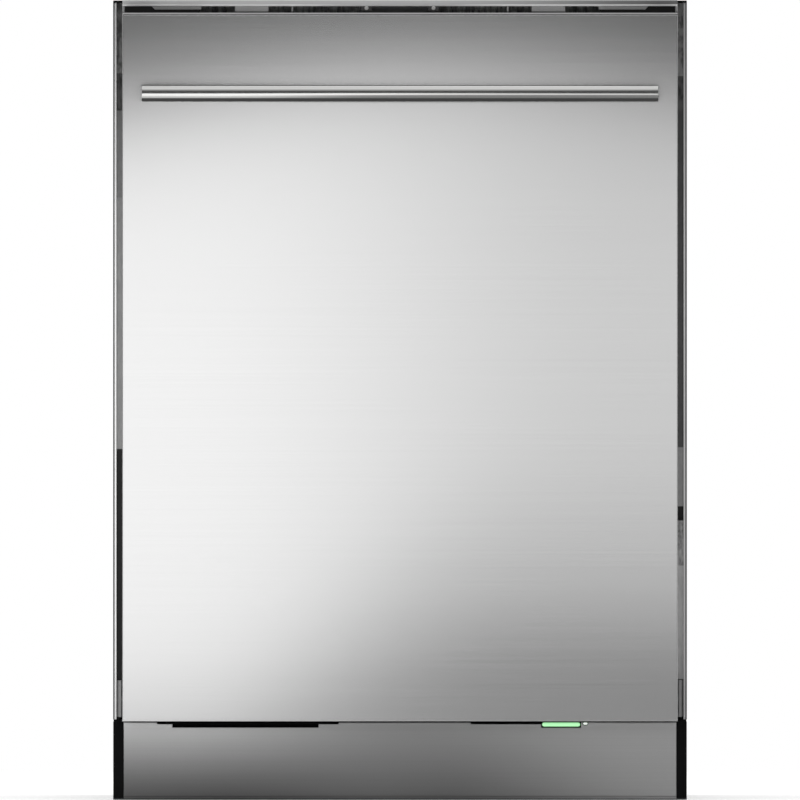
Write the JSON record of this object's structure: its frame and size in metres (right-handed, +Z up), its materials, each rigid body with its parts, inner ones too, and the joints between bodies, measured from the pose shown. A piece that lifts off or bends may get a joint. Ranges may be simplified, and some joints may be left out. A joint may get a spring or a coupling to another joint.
{
  "type": "dishwasher",
  "caption": "Built-in dishwasher with a brushed steel drop-down door, bar handle, hidden top controls, sliding racks, spray arms and a recessed toe kick.",
  "frame": {"origin": "centre of the footprint on the floor, under the feet, handle and rear screws included", "axes": "+Z up, -Y out of the door towards the user, +X to the right seen from the front"},
  "size_m": [0.6, 0.625, 0.836],
  "materials": {
    "door_steel": "fine horizontal brushing, satin",
    "kick_steel": "fine horizontal brushing, satin",
    "handle_steel": "polished, satin ends",
    "frame_steel": "bright stainless sheet",
    "tub_steel": "bright stainless sheet",
    "spring_steel": "oiled wire",
    "screw_steel": "zinc plated",
    "casing": "galvanised and painted dark grey",
    "rails_steel": "rolled stainless",
    "filter_steel": "perforated sheet",
    "base_black": "moulded, fine texture",
    "foot_grey": "moulded",
    "seal_black": "extruded",
    "light_green": "translucent light pipe",
    "felt": "pressed felt",
    "fascia_grey": "satin moulding",
    "button_grey": "satin moulding",
    "plumbing_grey": "moulded polypropylene",
    "spray_grey": "moulded polypropylene",
    "sump_grey": "moulded polypropylene",
    "white_plastic": "moulded",
    "rack_coat": "nylon coated wire",
    "wheel_grey": "moulded acetal",
    "tray_grey": "moulded polypropylene"
  },
  "bodies": {
    "cabinet": {"base_pan": "base_black", "tub": "tub_steel", "front_frame": "frame_steel", "side_panel_left": "casing", "side_panel_right": "casing", "rear_panel": "casing", "top_panel": "casing", "top_rail": "frame_steel", "worktop_brackets": "frame_steel", "strike_plate": "frame_steel", "tub_gasket": "seal_black", "toe_kick": "kick_steel", "kick_lip": "seal_black", "vent_grille": "base_black", "status_light": "light_green", "hinge_brackets": "frame_steel", "door_springs": "spring_steel", "sump": "sump_grey", "pump_housing": "base_black", "drain_pump": "base_black", "inlet_valve": "white_plastic", "air_break": "plumbing_grey", "feed_pipe": "plumbing_grey", "rack_rails": "rails_steel", "fine_filter": "filter_steel", "rear_ports": "sump_grey", "casing_screws": "screw_steel"},
    "door": {"door_panel": "door_steel", "door_liner": "tub_steel", "door_core": "felt", "control_fascia": "fascia_grey", "handle_bar": "handle_steel", "handle_posts": "handle_steel", "dispenser_body": "plumbing_grey", "door_seal": "seal_black", "hinge_arms": "spring_steel"},
    "detergent_lid": {"dispenser_lid": "plumbing_grey"},
    "rinse_aid_cap": {"rinse_cap": "plumbing_grey"},
    "latch": {"latch_bolt": "screw_steel"},
    "power_key": {"button_power": "button_grey"},
    "program_key": {"button_program": "button_grey"},
    "option_key": {"button_option": "button_grey"},
    "delay_key": {"button_delay": "button_grey"},
    "start_key": {"button_start": "button_grey"},
    "front_left_foot": {"foot_front_left": "foot_grey"},
    "front_right_foot": {"foot_front_right": "foot_grey"},
    "rear_foot": {"foot_rear": "foot_grey"},
    "lower_arm": {"lower_spray_arm": "spray_grey"},
    "top_arm": {"top_spray_arm": "spray_grey"},
    "filter_cup": {"coarse_filter": "sump_grey"},
    "float": {"float_cap": "sump_grey"},
    "impeller": {"pump_impeller": "white_plastic"},
    "slides": {"upper_slides": "rails_steel"},
    "upper_basket": {"upper_rack": "rack_coat"},
    "upper_arm": {"upper_spray_arm": "spray_grey"},
    "lower_basket": {"lower_rack": "rack_coat"},
    "front_wheel_pair": {"front_wheels": "wheel_grey"},
    "rear_wheel_pair": {"rear_wheels": "wheel_grey"},
    "tine_row": {"folding_tines": "rack_coat"},
    "tray": {"cutlery_tray": "tray_grey"}
  },
  "joints": [
    {"name": "door_hinge", "type": "hinge", "parent": "cabinet", "child": "door", "pos_m": [0, -0.2455, 0.105], "axis": [1, 0, 0], "range_deg": [0, 90], "stiffness_Nm_per_rad": 20, "deforming": ["door_springs"]},
    {"name": "tray_slide", "type": "slide", "parent": "cabinet", "child": "tray", "axis": [0, -1, 0], "range_m": [0, 0.43]},
    {"name": "upper_rack_slide", "type": "slide", "parent": "cabinet", "child": "slides", "axis": [0, -1, 0], "range_m": [0, 0.43]},
    {"name": "upper_rack_lift", "type": "slide", "parent": "slides", "child": "upper_basket", "axis": [0, 0, 1], "range_m": [0, 0.05]},
    {"name": "lower_rack_roll", "type": "slide", "parent": "cabinet", "child": "lower_basket", "axis": [0, -1, 0], "range_m": [0, 0.165]},
    {"name": "front_wheel_spin", "type": "hinge", "parent": "lower_basket", "child": "front_wheel_pair", "pos_m": [0, -0.085, 0.1585], "axis": [1, 0, 0], "continuous": true},
    {"name": "rear_wheel_spin", "type": "hinge", "parent": "lower_basket", "child": "rear_wheel_pair", "pos_m": [0, 0.2155, 0.1585], "axis": [1, 0, 0], "continuous": true},
    {"name": "tine_fold", "type": "hinge", "parent": "lower_basket", "child": "tine_row", "pos_m": [-0.131, 0.04525, 0.19102], "axis": [1, 0, 0], "range_deg": [0, 80]},
    {"name": "lower_arm_spin", "type": "hinge", "parent": "cabinet", "child": "lower_arm", "pos_m": [0, 0.0435, 0.1413], "axis": [0, 0, 1], "continuous": true},
    {"name": "upper_arm_spin", "type": "hinge", "parent": "upper_basket", "child": "upper_arm", "pos_m": [0, 0.0435, 0.505], "axis": [0, 0, 1], "continuous": true},
    {"name": "top_arm_spin", "type": "hinge", "parent": "cabinet", "child": "top_arm", "pos_m": [0, 0.0435, 0.786], "axis": [0, 0, 1], "continuous": true},
    {"name": "impeller_spin", "type": "hinge", "parent": "cabinet", "child": "impeller", "pos_m": [-0.1, 0.0115, 0.068], "axis": [1, 0, 0], "continuous": true},
    {"name": "filter_twist", "type": "hinge", "parent": "cabinet", "child": "filter_cup", "pos_m": [0.062, -0.0185, 0.1294], "axis": [0, 0, 1], "range_deg": [0, 90]},
    {"name": "float_lift", "type": "slide", "parent": "cabinet", "child": "float", "axis": [0, 0, 1], "range_m": [0, 0.01]},
    {"name": "detergent_lid_slide", "type": "slide", "parent": "door", "child": "detergent_lid", "axis": [1, 0, 0], "range_m": [0, 0.07]},
    {"name": "rinse_cap_turn", "type": "hinge", "parent": "door", "child": "rinse_aid_cap", "pos_m": [0.055, -0.2025, 0.4], "axis": [0, 1, 0], "range_deg": [0, 90]},
    {"name": "latch_slide", "type": "slide", "parent": "door", "child": "latch", "axis": [0, 0, 1], "range_m": [0, 0.0046]},
    {"name": "power_press", "type": "slide", "parent": "door", "child": "power_key", "axis": [0, 0, -1], "range_m": [0, 0.0012], "stiffness_N_per_m": 300},
    {"name": "program_press", "type": "slide", "parent": "door", "child": "program_key", "axis": [0, 0, -1], "range_m": [0, 0.0012], "stiffness_N_per_m": 300},
    {"name": "option_press", "type": "slide", "parent": "door", "child": "option_key", "axis": [0, 0, -1], "range_m": [0, 0.0012], "stiffness_N_per_m": 300},
    {"name": "delay_press", "type": "slide", "parent": "door", "child": "delay_key", "axis": [0, 0, -1], "range_m": [0, 0.0012], "stiffness_N_per_m": 300},
    {"name": "start_press", "type": "slide", "parent": "door", "child": "start_key", "axis": [0, 0, -1], "range_m": [0, 0.0012], "stiffness_N_per_m": 300},
    {"name": "front_left_foot_screw", "type": "slide", "parent": "cabinet", "child": "front_left_foot", "axis": [0, 0, -1], "range_m": [0, 0.045]},
    {"name": "front_right_foot_screw", "type": "slide", "parent": "cabinet", "child": "front_right_foot", "axis": [0, 0, -1], "range_m": [0, 0.045]},
    {"name": "rear_foot_screw", "type": "slide", "parent": "cabinet", "child": "rear_foot", "axis": [0, 0, -1], "range_m": [0, 0.045]}
  ],
  "couplings": [
    {"joint": "tray_slide", "follows": "door_hinge", "m_per_rad": 0.2737},
    {"joint": "upper_rack_slide", "follows": "door_hinge", "m_per_rad": 0.2737},
    {"joint": "lower_rack_roll", "follows": "door_hinge", "m_per_rad": 0.105},
    {"joint": "front_wheel_spin", "follows": "door_hinge", "ratio": 6.1765},
    {"joint": "rear_wheel_spin", "follows": "door_hinge", "ratio": 6.1765}
  ]
}
